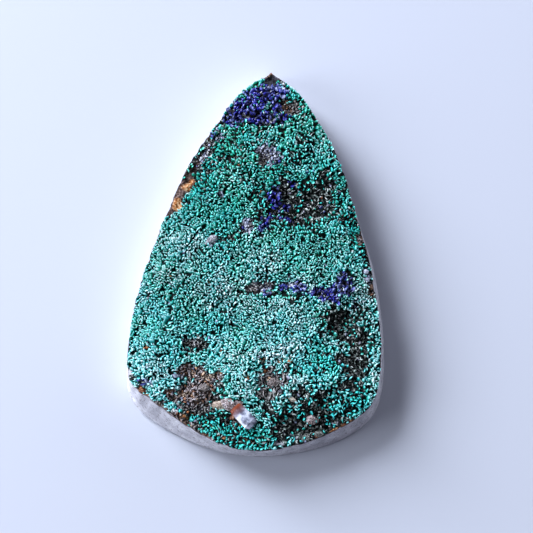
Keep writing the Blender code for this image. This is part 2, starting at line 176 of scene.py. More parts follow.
# %% The patches
# x, y, half-length, half-width, turn in degrees
PATCHES = {
    "azurite": (
        (-3.6, 18.7, 2.2, 1.6, 30), (-1.6, 20.5, 1.8, 1.2, 33), (0.5, 21.8, 1.3, 1.1, 50),
        (-1.6, 18.0, 3.0, 0.9, -3), (0.6, 19.4, 0.5, 1.0, 0), (1.5, 18.2, 0.8, 0.4, 0),
        (3.2, 9.5, 0.6, 0.4, 0), (1.1, 7.7, 0.7, 1.1, -10), (2.7, 6.4, 0.35, 0.3, 0),
        (2.6, 5.1, 1.0, 0.45, -38), (0.5, 4.5, 0.4, 0.7, -20), (0.1, 3.7, 0.6, 0.35, 15),
        (5.1, 10.9, 0.35, 0.4, 0), (5.9, 11.3, 0.3, 0.25, 0), (9.2, 8.7, 0.25, 0.25, 0),
        (7.4, 6.2, 0.3, 0.25, 0), (-2.5, 3.6, 0.3, 0.3, 0), (0.5, 13.6, 0.3, 0.5, 0),
        (1.2, 12.3, 0.35, 0.4, 0), (0.5, 11.7, 0.35, 0.3, 0), (-9.1, 11.5, 0.35, 0.5, -20),
        (-7.2, 15.5, 0.35, 0.3, 0), (2.6, -4.0, 0.5, 0.35, 0), (3.1, -3.8, 1.0, 0.55, 0),
        (4.9, -3.8, 1.2, 0.6, 0), (6.8, -4.2, 1.3, 0.65, -10), (8.2, -4.3, 1.2, 0.9, 0),
        (9.2, -4.0, 0.9, 0.8, 10), (10.4, -2.8, 1.0, 0.9, 30), (10.8, -3.8, 0.7, 0.6, 0),
        (9.3, -5.0, 0.4, 0.5, 0), (-13.8, -16.8, 0.3, 0.4, 20), (0.9, -5.1, 0.35, 0.3, 0),
    ),
    "pale": (
        (-1.2, 21.0, 0.4, 0.3, 40), (1.3, 22.8, 0.4, 0.3, -40), (-6.8, 16.2, 0.8, 0.35, 60),
        (-6.3, 15.3, 0.7, 0.45, 30), (-8.2, 12.8, 0.5, 0.9, -20), (-0.2, 13.9, 1.2, 0.9, 0),
        (1.2, 12.8, 0.8, 0.8, 0), (0.3, 12.0, 0.8, 0.6, 0), (-5.6, 10.5, 0.3, 0.3, 0),
        (-5.8, 7.7, 0.35, 0.35, 0), (-6.5, 1.6, 0.75, 0.5, 40), (-9.6, -15.8, 0.8, 0.4, 10),
        (-12.9, -16.7, 0.6, 0.4, 0), (8.3, 10.1, 0.4, 0.25, 60), (13.1, -1.2, 0.4, 0.3, 0),
        (2.8, -0.6, 0.3, 0.2, 0), (3.7, -3.4, 0.5, 0.25, 0), (8.2, -3.8, 0.35, 0.3, 0),
        (13.6, -2.0, 0.3, 0.9, 15), (-2.3, 4.1, 0.6, 0.6, 0), (-2.0, 3.2, 0.5, 0.35, 0),
        (0.6, -4.1, 1.1, 0.3, 10), (4.1, -3.5, 0.6, 0.45, 0), (11.8, -5.6, 0.5, 0.3, 0),
    ),
    "chalk": (
        (-2.2, 2.9, 0.8, 0.5, 0), (0.6, -12.6, 3.6, 0.6, 4), (3.8, -11.6, 1.6, 0.4, 8),
        (-9.9, -15.4, 1.4, 0.6, 10), (-12.0, -16.2, 1.5, 0.9, 5), (-12.6, -14.6, 1.4, 0.7, 20),
    ),
    "moss": ((-5.0, -22.0, 4.6, 1.6, -22), (-0.5, -22.9, 3.4, 1.7, 0), (12.0, 4.0, 1.5, 3.0, 15)),
    "deep": (
        (7.4, -12.7, 3.4, 2.4, 0), (8.0, -20.6, 4.6, 2.6, 12), (12.8, -17.6, 1.6, 1.6, 0),
        (-8.0, 10.6, 4.2, 1.9, 63),
    ),
    "ochre": (
        (-9.9, 8.7, 1.15, 0.62, 45), (-11.2, 6.3, 0.7, 0.7, 50), (0.4, 24.6, 0.5, 0.25, -20),
        (-0.4, 24.1, 0.7, 0.2, 35), (-13.6, -12.5, 0.3, 0.25, 0), (-13.9, -17.8, 0.7, 0.4, -30),
        (-13.1, -18.5, 0.7, 0.4, -30), (-8.6, -20.8, 0.6, 0.3, -30), (1.4, -14.2, 0.6, 0.35, 0),
        (3.0, -13.2, 0.45, 0.3, 0), (-1.0, -15.5, 0.3, 0.25, 0), (10.6, -21.2, 0.7, 0.3, 25),
        (11.5, -20.6, 0.6, 0.3, 28), (12.4, -19.9, 0.5, 0.3, 30),
    ),
    "rust": (
        (-8.0, -15.3, 2.2, 1.0, 0), (-5.6, -15.9, 1.3, 0.9, 0), (-8.4, -17.7, 2.5, 1.4, 10),
        (-5.8, -17.4, 1.4, 1.2, 0), (-2.2, -20.2, 0.5, 0.8, 0), (-11.1, -19.9, 2.0, 0.45, -32),
        (-8.2, -21.4, 1.9, 0.5, -32), (-5.7, -23.0, 1.6, 0.35, -20), (7.4, -20.2, 0.5, 0.5, 0),
        (13.9, -3.3, 0.3, 0.9, 12), (12.3, 2.8, 0.4, 0.8, 20),
    ),
    "ash": (
        (2.2, -15.8, 1.9, 2.1, -10), (1.6, -17.7, 1.2, 0.7, 0), (-6.6, -16.2, 2.7, 1.7, -5),
        (-7.4, -18.5, 3.0, 1.4, 8), (-8.4, 12.8, 0.9, 2.0, -28), (-8.0, -11.4, 1.0, 0.6, 0),
        (2.6, 19.5, 1.0, 1.2, 0), (-0.2, -4.1, 2.3, 0.75, 10), (-10.3, -18.1, 0.9, 0.6, -20),
        (-4.6, 1.9, 0.9, 0.4, 10), (-0.5, 13.0, 1.0, 1.6, -15), (-2.2, 3.7, 0.9, 0.8, 20),
    ),
    "dark": (
        (6.4, 8.0, 3.3, 2.4, 38), (3.9, 8.4, 1.9, 1.3, 10), (7.3, 6.4, 2.0, 1.4, 25),
        (4.2, 5.6, 2.2, 1.1, -15), (1.7, 5.9, 1.3, 1.2, 0), (1.4, -18.8, 1.6, 0.8, 0),
        (-4.0, -17.0, 1.0, 0.8, 0), (1.9, 9.6, 1.0, 0.8, 40), (8.0, 9.4, 1.2, 0.9, 30),
        (3.9, 17.1, 0.25, 0.4, 0), (4.4, 15.4, 0.25, 0.5, 0), (0.2, 17.3, 1.7, 0.35, -5),
        (-8.4, 13.0, 2.6, 0.75, 63), (-7.9, 10.6, 0.9, 0.5, 20), (10.0, -7.8, 2.3, 1.7, -25),
        (12.4, -10.2, 1.3, 1.8, -10), (10.6, -12.4, 1.3, 0.8, -20), (12.8, -13.0, 1.3, 1.9, 10),
        (10.9, -15.8, 1.2, 0.6, 30), (-3.0, -21.0, 1.2, 0.5, -10), (-9.6, 10.2, 1.5, 0.6, 63),
        (-15.8, -8.4, 0.3, 2.4, -4), (-15.1, -3.6, 0.25, 1.0, -12), (-7.9, -11.8, 1.9, 1.3, 10),
        (-6.4, -19.6, 1.8, 0.7, 10), (-4.6, -18.2, 0.9, 0.7, 0), (3.6, -14.6, 0.9, 0.6, 0),
        (5.6, -17.0, 1.6, 0.9, 10), (8.4, -16.9, 1.4, 0.7, 20), (5.0, -20.1, 1.2, 0.8, 30),
        (3.6, -21.4, 1.3, 1.2, 10), (5.6, -21.6, 2.4, 1.3, 5), (8.8, -19.2, 1.6, 1.1, 0),
        (11.0, -20.0, 1.2, 0.9, 30), (8.8, -21.4, 1.6, 1.0, 15), (6.2, -22.6, 2.2, 1.0, 8),
        (13.4, 0.4, 0.6, 2.2, 14), (-4.9, -5.9, 2.4, 0.22, 43), (-6.6, -8.8, 0.5, 0.35, 0),
        (-14.3, -16.4, 0.6, 0.5, 0), (-15.6, -16.2, 0.4, 0.6, 0), (3.8, -5.2, 0.9, 0.3, 0),
        (-0.2, -4.3, 2.4, 0.55, 4), (-2.6, -4.9, 0.7, 0.3, 10), (-4.8, 1.9, 1.0, 0.45, 12),
        (-3.2, 2.6, 0.7, 0.3, 40), (0.4, 23.3, 1.1, 0.9, 0), (1.9, 20.0, 1.3, 0.9, -20),
        (-5.9, 17.0, 0.9, 0.4, 45), (14.1, -2.8, 0.4, 1.6, 8),
    ),
    "thin": (
        (10.6, -8.4, 3.0, 2.7, -30), (12.8, -10.6, 1.9, 3.6, 0), (12.8, -14.6, 1.4, 2.4, 0),
        (5.2, 6.0, 4.2, 2.6, 20), (7.4, 10.2, 1.6, 1.8, 0), (0.2, 5.4, 1.2, 2.2, 0),
        (6.6, -18.8, 5.6, 2.4, 12), (-5.0, -19.4, 3.6, 1.2, 5), (0.2, -4.5, 2.8, 0.8, 3),
        (1.6, -17.6, 1.4, 1.3, 0), (-4.8, 11.8, 0.8, 2.2, -30), (-0.8, 8.2, 1.2, 1.2, 0),
        (3.4, 13.2, 1.4, 1.0, 0),
    ),
    "tan": (
        (1.8, 19.6, 0.8, 0.9, 0), (-8.9, -18.1, 1.3, 0.5, 12), (-7.8, -15.3, 0.8, 0.4, -10),
        (-5.6, -15.6, 1.1, 0.45, 10), (-8.6, -20.8, 0.6, 0.3, -30), (-6.4, -18.9, 0.8, 0.3, -20),
        (1.9, -15.5, 0.3, 0.3, 0), (-11.0, -19.8, 0.9, 0.25, -32), (1.0, -13.2, 0.4, 0.3, 0),
    ),
    "stained": ((-10.7, 8.0, 3.6, 0.95, 65), (-9.7, 10.6, 1.4, 0.4, 63), (-7.8, 15.3, 0.6, 0.25, 60)),
    "bare": ((3.6, -23.3, 0.7, 0.2, 5), (-15.6, -15.6, 0.3, 0.4, 0)),
    "slate": ((-0.15, 23.3, 1.0, 0.8, -10), (0.5, 23.9, 0.6, 0.5, -30)),
}
FRAY = 0.45  # how ragged the patches' edges are, as a share of their size
FRAY_WIDTH = 0.8  # size of the ragged bits
SOFT = 0.35  # width of the blend at an edge, as a share of the patch's size


def patch(x, y, name):
    """From 0 outside to 1 inside: each ellipse gives the distance from its middle as a share of its own
    size, the nearest one wins, the random field shifts it, and a ramp turns it into a share."""
    cx, cy, length, width, turn = (column[:, None] for column in np.array(PATCHES[name]).T)
    cos, sin = np.cos(np.radians(turn)), np.sin(np.radians(turn))
    px, py = x.ravel() - cx, y.ravel() - cy
    deep = np.hypot((px * cos + py * sin) / length, (py * cos - px * sin) / width)
    deep = deep.min(0).reshape(x.shape) + FRAY * ripple(x, y, FRAY_WIDTH, 3)
    return np.clip((1 - deep) / SOFT + 0.5, 0, 1)


print("patches:", {name: len(table) for name, table in PATCHES.items()})

# %% [markdown]
# ## The ground under the crystals
# The crystals need a ground to stand on. The solid's crust gives its large shape: its corners are
# counted in small squares, blurred, and turned into one smooth height. A modifier that smooths the
# solid would keep its coarse crystals, and this doesn't.

# %% The solid's level
CELL = 0.25  # width of a square
BLUR = 0.6  # width of the bell curve that blurs them
MARGIN = 4  # squares reach this far past the stone
CRUST_DEPTH = 0.75  # corners higher than this much under the rim belong to the crust

spans = np.abs(solid[:, :2]).max(0) + MARGIN
squares = [np.arange(-far, far, CELL) for far in spans]


def level_field():
    """The solid's crust as a smooth field. Heights are summed in squares and so are the corners, both
    sums are blurred with a bell curve by multiplying their waves, and one is divided by the other."""
    top = solid[solid[:, 2] > RIM_HEIGHT - CRUST_DEPTH]
    count = np.histogram2d(top[:, 0], top[:, 1], bins=squares)[0]
    total = np.histogram2d(top[:, 0], top[:, 1], bins=squares, weights=top[:, 2])[0]
    wide_waves, high_waves = np.fft.fftfreq(count.shape[0], CELL), np.fft.rfftfreq(count.shape[1], CELL)
    waves = np.hypot(wide_waves[:, None], high_waves)
    bell = np.exp(-2 * (math.pi * BLUR * waves) ** 2)
    count, total = (np.fft.irfft2(np.fft.rfft2(field) * bell, count.shape) for field in (count, total))
    return total / np.maximum(count, 1e-9)


heights = level_field()
print("level:", heights.shape, "squares")

# %% [markdown]
# ## Lumps, folds and crests
# A druse covers every lump of the rock below, so lumps from one to three millimetres wide are added,
# and folds, which are lumps drawn out along one direction. On top run winding crests half a millimetre
# apart, for a druse is never a field of single grains: they crowd into worms and rosettes. The dark
# patches sink, being hollows, and the grey and brown rock is rough.

# %% Height of the ground
SUNK = 0.16  # the ground lies this much under the mean of the solid's coarse crystals
LUMPS = ((3.4, 0.20, 21), (1.7, 0.17, 22), (0.8, 0.08, 23))  # width, height, seed
FOLDS = ((62, 4.5, 1.1, 0.32, 24), (30, 6.0, 1.9, 0.14, 25))  # turn, length, width, height, seed
CREST_WIDTH, CREST_HEIGHT = 0.55, 0.11
HOLLOW, THIN_HOLLOW = 0.3, 0.15  # how deep the dark and the thin patches sink
GRIT, GRIT_WIDTH = 0.12, 0.45  # height and width of the roughness of grey and brown rock
FADE = 1.5  # all of these fade out towards the edge, at this much per mm


def crest(x, y):
    """Winding crests, 1 along their tops and 0 between them: one less twice the size of the random
    field, because a smooth field is 0 along winding lines."""
    return np.clip(1 - 2 * np.abs(ripple(x, y, CREST_WIDTH, 51)), 0, 1)


def relief(x, y):
    """What the small forms add: lumps, folds, crests and grit on grey and brown rock, less the
    hollows."""
    added = sum(height * ripple(x, y, width, seed) for width, height, seed in LUMPS)
    for turn, length, width, height, seed in FOLDS:
        cos, sin = math.cos(math.radians(turn)), math.sin(math.radians(turn))
        drawn_out = (x * cos + y * sin) * width / length
        added = added + height * ripple(drawn_out, y * cos - x * sin, width, seed)
    rough_rock = np.maximum(patch(x, y, "ash"), patch(x, y, "rust"))
    added = added + GRIT * rough_rock * ripple(x, y, GRIT_WIDTH, 26) + CREST_HEIGHT * crest(x, y)
    return added - HOLLOW * patch(x, y, "dark") - THIN_HOLLOW * patch(x, y, "thin")


def ground(x, y):
    """Height of the ground: the level field read between its squares, less the sink, plus the relief,
    which fades out close to the edge."""
    u, v = (x - squares[0][0]) / CELL - 0.5, (y - squares[1][0]) / CELL - 0.5
    i, j = np.floor(u).astype(int), np.floor(v).astype(int)
    s, t = u - i, v - j
    low = heights[i, j] * (1 - s) + heights[i + 1, j] * s
    high = heights[i, j + 1] * (1 - s) + heights[i + 1, j + 1] * s
    return low * (1 - t) + high * t - SUNK + relief(x, y) * np.clip(FADE * inside(x, y), 0, 1)


print("ground:", ground(np.zeros(1), np.zeros(1))[0].round(2), "mm high in the middle")

# %% [markdown]
# ## Closed shells
# The stone and every crystal have the same plan: rings of points from a top pole to a bottom pole. One
# function numbers the triangles of any count of such shells, so nothing here is ever left open, and all
# faces point outwards because the rings run anticlockwise and downwards.

# %% Closed shells
def shells(rows, sides, count):
    """Triangles of closed shells whose corners are numbered top pole, rings downwards, bottom pole: two
    for each square between neighbouring rings and one for each step round a pole."""
    k, j = np.meshgrid(np.arange(rows - 1), np.arange(sides), indexing="ij")
    a, b = 1 + k * sides + j, 1 + k * sides + (j + 1) % sides
    walls = np.stack([a, a + sides, b + sides, a, b + sides, b], -1).reshape(-1, 3)
    j = np.arange(sides)
    first, second = 1 + j, 1 + (j + 1) % sides
    down = (rows - 1) * sides
    top = np.column_stack([0 * j, first, second])
    bottom = np.column_stack([0 * j + rows * sides + 1, second + down, first + down])
    one = np.concatenate([top, walls, bottom])
    return (one + (rows * sides + 2) * np.arange(count)[:, None, None]).reshape(-1, 3)


print("smallest shell:", len(shells(2, 6, 1)), "triangles")

# %% [markdown]
# ## From arrays to a mesh
# Blender takes whole arrays with foreach_set, which is far quicker than a point at a time. Each corner
# may also carry numbers, which the finish reads later: how deep it lies, or how pale its crystal is.

# %% Arrays into a mesh
def put_in(name, points, triangles, material, slot, bake_map, smooth, **numbers):
    """Puts arrays into a new mesh: corners in mm, triangles, a map for the bake and numbers for the
    corners."""
    mesh = bpy.data.meshes.new(name)
    mesh.vertices.add(len(points))
    mesh.vertices.foreach_set("co", (points * MM).astype(np.float32).ravel())
    mesh.loops.add(triangles.size)
    mesh.loops.foreach_set("vertex_index", triangles.astype(np.int32).ravel())
    mesh.polygons.add(len(triangles))
    mesh.polygons.foreach_set("loop_start", np.arange(0, triangles.size, 3, dtype=np.int32))
    mesh.polygons.foreach_set("use_smooth", np.full(len(triangles), smooth))
    mesh.uv_layers.new(name="OFBake").uv.foreach_set("vector", bake_map.astype(np.float32).ravel())
    for label, values in numbers.items():
        mesh.attributes.new(label, "FLOAT", "POINT").data.foreach_set("value", values.astype(np.float32))
    mesh.update(calc_edges=True)
    mesh.materials.append(material)
    piece = bpy.data.objects.new(name, mesh)
    bpy.context.scene.collection.objects.link(piece)
    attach(piece, "root")
    print(name + ":", len(points), "corners,", len(triangles), "triangles")
    return piece


# %% [markdown]
# ## A node at a time
# Every finish below is a small tree of shader nodes. One function adds a node, sets it and links it,
# and one turns a colour as a colour picker gives it, in sRGB, into the linear light that a renderer
# adds up. The nodes could be drawn by hand in the editor, but written down they can be compared and
# reused.

# %% Helpers for finishes
def linear(code):
    """Linear red, green, blue and alpha from hex: c/12.92 near black, else ((c + 0.055) / 1.055)^2.4."""
    parts = [int(code[i : i + 2], 16) / 255 for i in (1, 3, 5)]
    return [c / 12.92 if c < 0.04045 else ((c + 0.055) / 1.055) ** 2.4 for c in parts] + [1.0]


def add(tree, kind, feeds=None, stops=None, **settings):
    """Adds a node: settings are its own options, stops the colours of a ramp, and feeds its inputs by
    name or number, each a value or the output of another node."""
    made = tree.nodes.new("ShaderNode" + kind)
    for label, value in settings.items():
        setattr(made, label, value)
    for index, (place, code) in enumerate(stops or ()):
        ramp = made.color_ramp.elements
        stop = ramp[index] if index < 2 else ramp.new(place)
        stop.position, stop.color = place, linear(code)
    for label, value in (feeds or {}).items():
        if isinstance(value, bpy.types.NodeSocket):
            tree.links.new(value, made.inputs[label])
        else:
            made.inputs[label].default_value = value
    return made


def number(tree, name):
    """A number that the mesh carries at its corners."""
    return add(tree, "Attribute", attribute_name=name).outputs["Fac"]


def start(name):
    """A new material with an empty tree, and that tree."""
    made = bpy.data.materials.new(name)
    made.use_nodes = True
    made.node_tree.nodes.clear()
    return made, made.node_tree


print("middle grey in linear light:", round(linear("#808080")[0], 3))

# %% [markdown]
# ## The crystals' finish
# Malachite owes its green to copper, and its crystals are so fine that the crust looks like velvet:
# bright where the tips catch light, and almost black between them. Each crystal carries three numbers.
# Its tint picks a colour from the mineral's range, from deep to pale; its tone slides between two such
# ranges, because no mineral has one hue; and its level runs from 0 at the foot to 1 at the tip. Near
# the foot the colour is darkened with painted shade, for the gaps between crystals lie in shade, and the
# tip is paler, partly its own colour and partly a painted highlight. One colour for each mineral would
# be simpler, but then a druse looks like painted sand.

# %% Finishes of the minerals
# roughness, index of refraction, strength of the shine, and the two ranges of colour
MINERALS = {
    # grown as tufts of needles, finer than the blades here: silky, green to turquoise, with a weak shine
    "malachite": (0.55, 1.75, 0.2, ("#07634b", "#259a7c", "#49e1c3", "#9cf3e2", "#f2fffa"),
                  ("#076264", "#259a9a", "#46e7e3", "#98f4f3", "#f2ffff")),
    # grown as clear blades: glassy, deep blue, and slate blue where it has begun to fade
    "azurite": (0.35, 1.76, 0.4, ("#04033a", "#100d78", "#2624a8", "#5f64ba", "#a6aed4"),
                ("#12163a", "#323c72", "#5b68a2", "#97a1cc", "#dbe0f4")),
    # iron and copper minerals eaten by water: dusty grey-green, and brown on the rusty rock
    "weathered": (0.6, 1.6, 0.3, ("#060706", "#28302c", "#6c7a72", "#aebdb4", "#e6efe9"),
                  ("#0c0a0b", "#39302f", "#84746f", "#b5aaa9", "#e8e2e2")),
    # fresh crumbs of iron oxide: nearly black, with small sharp glints
    "iron_oxide": (0.4, 1.6, 0.3, ("#020202", "#060505", "#100d0e", "#2c2728", "#6d6666"),
                   ("#020303", "#080a0a", "#171c1a", "#44504a", "#9aa8a0")),
    # earthy rust: orange and dull, and sandy where it is thin over quartz
    "limonite": (0.65, 1.6, 0.4, ("#2a1108", "#7a3a16", "#bb6a2c", "#dc9c5c", "#f0d2a4"),
                 ("#30261f", "#6a5648", "#a08c7a", "#c8b8a6", "#ebe3d6")),
    # broken quartz: glassy, clouded, cool or a little brown
    "milky_quartz": (0.35, 1.54, 0.5, ("#3c3c48", "#70748a", "#a2a9c2", "#ccd4ea", "#f4f7ff"),
                     ("#453f42", "#7b7473", "#aaa49e", "#d2cec6", "#f6f5ee")),
}
TINTS = (0.0, 0.25, 0.5, 0.75, 1.0)
PALE_AND_LIT_TIP = 0.25  # how much paler a tip is than a foot, as a share of the range: partly its own colour, partly painted highlight
AS_GIVEN = 0.6  # level at which the tint is the seed's own
UNSHADED_FROM = 0.8  # level from which the colour is full, free of painted shade
SHADE_POWER = 3.8  # painted shade: the colour's power at the foot, as if light had met the crystals about four times
FOOT_SHADE = "#141414"  # painted shade: the grey that is left of the colour at the foot


def crystal_finish(name):
    """The finish of one mineral's crystals. Tint, paler towards the tip (partly the tip's own colour,
    partly painted highlight), and tone pick the colour c; near the foot it falls to c^power times a
    grey.
    That is painted shade for the gaps, standing for light that leaves a gap having met the crystals
    several times."""
    roughness, refraction, shine, first, second = MINERALS[name]
    made, tree = start(name + "_crystals")
    level = number(tree, "level")
    by_level = {0: level, 1: PALE_AND_LIT_TIP, 2: -AS_GIVEN * PALE_AND_LIT_TIP}
    paler = add(tree, "Math", by_level, operation="MULTIPLY_ADD").outputs[0]
    tint = add(tree, "Math", {0: number(tree, "tint"), 1: paler}, operation="ADD").outputs[0]
    one = add(tree, "ValToRGB", {0: tint}, stops=tuple(zip(TINTS, first))).outputs[0]
    other = add(tree, "ValToRGB", {0: tint}, stops=tuple(zip(TINTS, second))).outputs[0]
    colour = add(tree, "MixRGB", {0: number(tree, "tone"), 1: one, 2: other}).outputs[0]
    power = add(tree, "MapRange", {"Value": level, "From Max": UNSHADED_FROM, "To Min": SHADE_POWER, "To Max": 1.0})
    colour = add(tree, "Gamma", {0: colour, 1: power.outputs[0]}).outputs[0]
    # painted shade: a grey ramp that darkens each crystal towards its foot, in the gaps
    painted_foot_shade = add(tree, "ValToRGB", {0: level}, stops=((0.0, FOOT_SHADE), (UNSHADED_FROM, "#ffffff"))).outputs[0]
    both = add(tree, "MixRGB", {0: 1.0, 1: colour, 2: painted_foot_shade}, blend_type="MULTIPLY").outputs[0]
    stone = add(tree, "BsdfPrincipled", {"Base Color": both, "Roughness": roughness, "IOR": refraction})
    stone.inputs["Specular IOR Level"].default_value = shine
    add(tree, "OutputMaterial", {0: stone.outputs[0]})
    return made


finishes = {name: crystal_finish(name) for name in MINERALS}
SLOTS = {"malachite": "malachite_druse", "azurite": "azurite_crystals", "iron_oxide": "iron_oxide",
         "weathered": "iron_oxide", "limonite": "iron_oxide", "milky_quartz": "quartz_rock"}
print("finishes:", ", ".join(finishes))

# %% [markdown]
# ## The rock and its ground side
# Below the crust is quartz rock, ground on a fine wheel to a satin grey with a lavender cast. It is
# cloudy in patches a millimetre or two wide, peppered with darker grains, and stained brown where water
# came down from the crust. The wheel's marks run round it: they are a few hundredths of a millimetre
# apart, and are drawn 0.15 mm apart here so that they show.
#
# On top the same piece is the floor between the crystals, painted near black as their shade, and grey,
# brown or orange rock where the crust is missing. Two materials on two meshes would need a seam; here
# one number tells the two apart, how far a point lies below the crust's edge.

# %% Finish of the rock
CLOUD, SPECK, MARKS = 1.6, 0.28, 0.15  # sizes of the clouds, the grains and the wheel's marks
CLOUDS = ((0.3, "#b8b6bc"), (0.5, "#d8d6db"), (0.72, "#f4f3f5"))  # ground rock, cloudy to clear
PEPPER = ((0.32, "#988c8a"), (0.44, "#ffffff"))  # and what its darker grains leave of it
SHADE = ((0.4, "#010504"), (0.65, "#07211c"))  # painted shade on the floor between the crystals
# rock that shows where the crust is missing, by patch: where on the noise each colour lies
SKINS = {
    "ash": ((0.35, "#37353b"), (0.52, "#77737d"), (0.7, "#aeabb6")),
    "rust": ((0.35, "#664e42"), (0.5, "#a8856f"), (0.68, "#d0baa6")),
    "stained": ((0.35, "#1e1312"), (0.5, "#4c3831"), (0.68, "#87716a")),
    "ochre": ((0.34, "#5c2e12"), (0.48, "#ad6c36"), (0.64, "#dcb68e")),
    "slate": ((0.35, "#17161a"), (0.52, "#434148"), (0.7, "#77757e")),
}
PEPPERED = 0.8  # strength of the darker grains
WANDER = 0.9  # the clouds' noise adds up to this much to the depth, so that borders wander
CRUST_TO, SIDE_FROM = 0.42, 0.5  # sums between which the crust gives way to the side
STAIN_TO, CLEAN_FROM = 0.60, 0.8  # and between which the stain gives way to clean rock
DULL, SATIN = 0.9, 0.5  # roughness of the natural top and of the ground side
STREAK = 0.5  # how much the marks vary along their length, per mm


def quartz_rock():
    """Pale rock on the side and, on top, a floor painted dark as the crystals' shade, told apart by the
    depth below the edge, shaken by noise."""
    made, tree = start("quartz_rock")
    place = add(tree, "TexCoord").outputs["Object"]
    depth = number(tree, "depth")
    cloud = add(tree, "TexNoise", {"Vector": place, "Scale": 1 / (CLOUD * MM), "Detail": 6.0})
    speck = add(tree, "TexNoise", {"Vector": place, "Scale": 1 / (SPECK * MM), "Detail": 3.0})
    cloud, speck = cloud.outputs["Fac"], speck.outputs["Fac"]
    clear = add(tree, "ValToRGB", {0: cloud}, stops=CLOUDS).outputs[0]
    pepper = add(tree, "ValToRGB", {0: speck}, stops=PEPPER).outputs[0]
    skins = {}
    for name, stops in SKINS.items():
        skins[name] = add(tree, "ValToRGB", {0: speck}, stops=stops).outputs[0]
    grainy = add(tree, "MixRGB", {0: PEPPERED, 1: clear, 2: pepper}, blend_type="MULTIPLY")
    skins["bare"] = grainy.outputs[0]

    # painted shade: the floor between the crystals starts near black, as it lies in their shade
    colour = add(tree, "ValToRGB", {0: speck}, stops=SHADE).outputs[0]
    for name, skin in skins.items():
        colour = add(tree, "MixRGB", {0: number(tree, name), 1: colour, 2: skin}).outputs[0]
    wander = add(tree, "Math", {0: cloud, 1: WANDER}, operation="MULTIPLY").outputs[0]
    shifted = add(tree, "Math", {0: depth, 1: wander}, operation="ADD").outputs[0]
    border = {"Value": shifted, "From Min": CRUST_TO, "From Max": SIDE_FROM}
    under = add(tree, "MapRange", border).outputs[0]
    border = {"Value": shifted, "From Min": STAIN_TO, "From Max": CLEAN_FROM}
    clean = add(tree, "MapRange", border).outputs[0]
    side = add(tree, "MixRGB", {0: clean, 1: skins["stained"], 2: skins["bare"]}).outputs[0]
    colour = add(tree, "MixRGB", {0: under, 1: colour, 2: side}).outputs[0]

    gloss = add(tree, "MapRange", {"Value": under, "To Min": DULL, "To Max": SATIN}).outputs[0]
    along = add(tree, "CombineXYZ", {0: number(tree, "along"), 1: depth}).outputs[0]
    marks = add(tree, "Mapping", {"Vector": along, "Scale": (STREAK, 1 / MARKS, 1)}).outputs[0]
    marks = add(tree, "TexNoise", {"Vector": marks, "Scale": 1.0, "Detail": 2.0}).outputs["Fac"]
    height = add(tree, "MixRGB", {0: 0.5, 1: speck, 2: marks}).outputs[0]
    bump = add(tree, "Bump", {"Height": height, "Strength": 0.35, "Distance": 0.05 * MM}).outputs[0]
    stone = add(tree, "BsdfPrincipled", {"Base Color": colour, "Roughness": gloss, "Normal": bump})
    stone.inputs["Specular IOR Level"].default_value = 0.3
    add(tree, "OutputMaterial", {0: stone.outputs[0]})
    return made


rock = quartz_rock()
print("rock:", len(rock.node_tree.nodes), "nodes")

# %% [markdown]
# ## The stone
# The body is one grid: rings that widen from the middle of the crust to its edge, run down the ground
# side, turn under at the back and close in the middle of the sawn face. It could be the solid with a
# finer surface laid on, but one shell has no seams, and its rings can crowd where the detail is.

# %% The stone's body
CRUST_ROWS, SIDE_ROWS, TURN_ROWS, BACK_ROWS = 110, 26, 5, 4


def body_surface():
    """The rings of the stone from the crust's middle to the back's, with each ring's depth under the
    edge. Crust: share of the edge's distance, at the ground's height. Side: straight from edge to
    widest ring. Turn: a quarter of an ellipse from the widest ring to the back. Back: flat, shrinking
    to the middle."""
    share = np.linspace(0, 1, CRUST_ROWS + 1)[1:, None]
    down = np.linspace(0, 1, SIDE_ROWS + 1)[1:, None]
    quarter = np.linspace(0, math.pi / 2, TURN_ROWS + 1)[1:, None]
    close = np.linspace(1, 0, BACK_ROWS + 2)[1:-1, None]

    crust = share * edge
    crust_z = ground(crust * east, crust * north)
    top = crust_z[-1]
    side = edge + (wide - edge) * down
    side_z = top + (CHAMFER_TOP - top) * down
    turned = back + (wide - back) * np.cos(quarter)
    turned_z = CHAMFER_TOP * (1 - np.sin(quarter)) + 0 * wide
    flat = close * back
    radius = np.concatenate([crust, side, turned, flat])
    z = np.concatenate([crust_z, side_z, turned_z, 0 * flat])
    depth = np.concatenate([crust - edge, top - side_z, top - turned_z, top + 0 * flat])
    return np.stack([radius * east, radius * north, z], -1), depth


points, depth = body_surface()
middle = float(ground(np.zeros(1), np.zeros(1))[0])
corners = np.concatenate([[[0, 0, middle]], points.reshape(-1, 3), [[0, 0, 0]]])
FAR = 9  # depth of the two poles, well past any border
depths = np.concatenate([[-FAR], depth.ravel(), [FAR]])
triangles = shells(len(points), AROUND, 1)
print("body:", len(points), "rings of", AROUND, "corners")

# %% [markdown]
# ## A map for the stone
# A bake turns each finish into a picture, and needs to know where each face lies in it. Blender
# can unwrap any mesh by itself, but this one is simple enough to be laid out: the crust and the back
# are nearly flat and lie side by side as seen from above, and the side becomes a strip under them.

# %% The stone's map
PER_MM = 0.0145  # scale of the crust and the back
CRUST_AT, BACK_SHIFT = (0.25, 0.6), 0.5  # the crust's middle, and how far right of it the back's lies
STRIP_AT, STRIP_LONG, STRIP_HIGH = 0.01, 0.97, 0.15  # corner and size of the side's strip

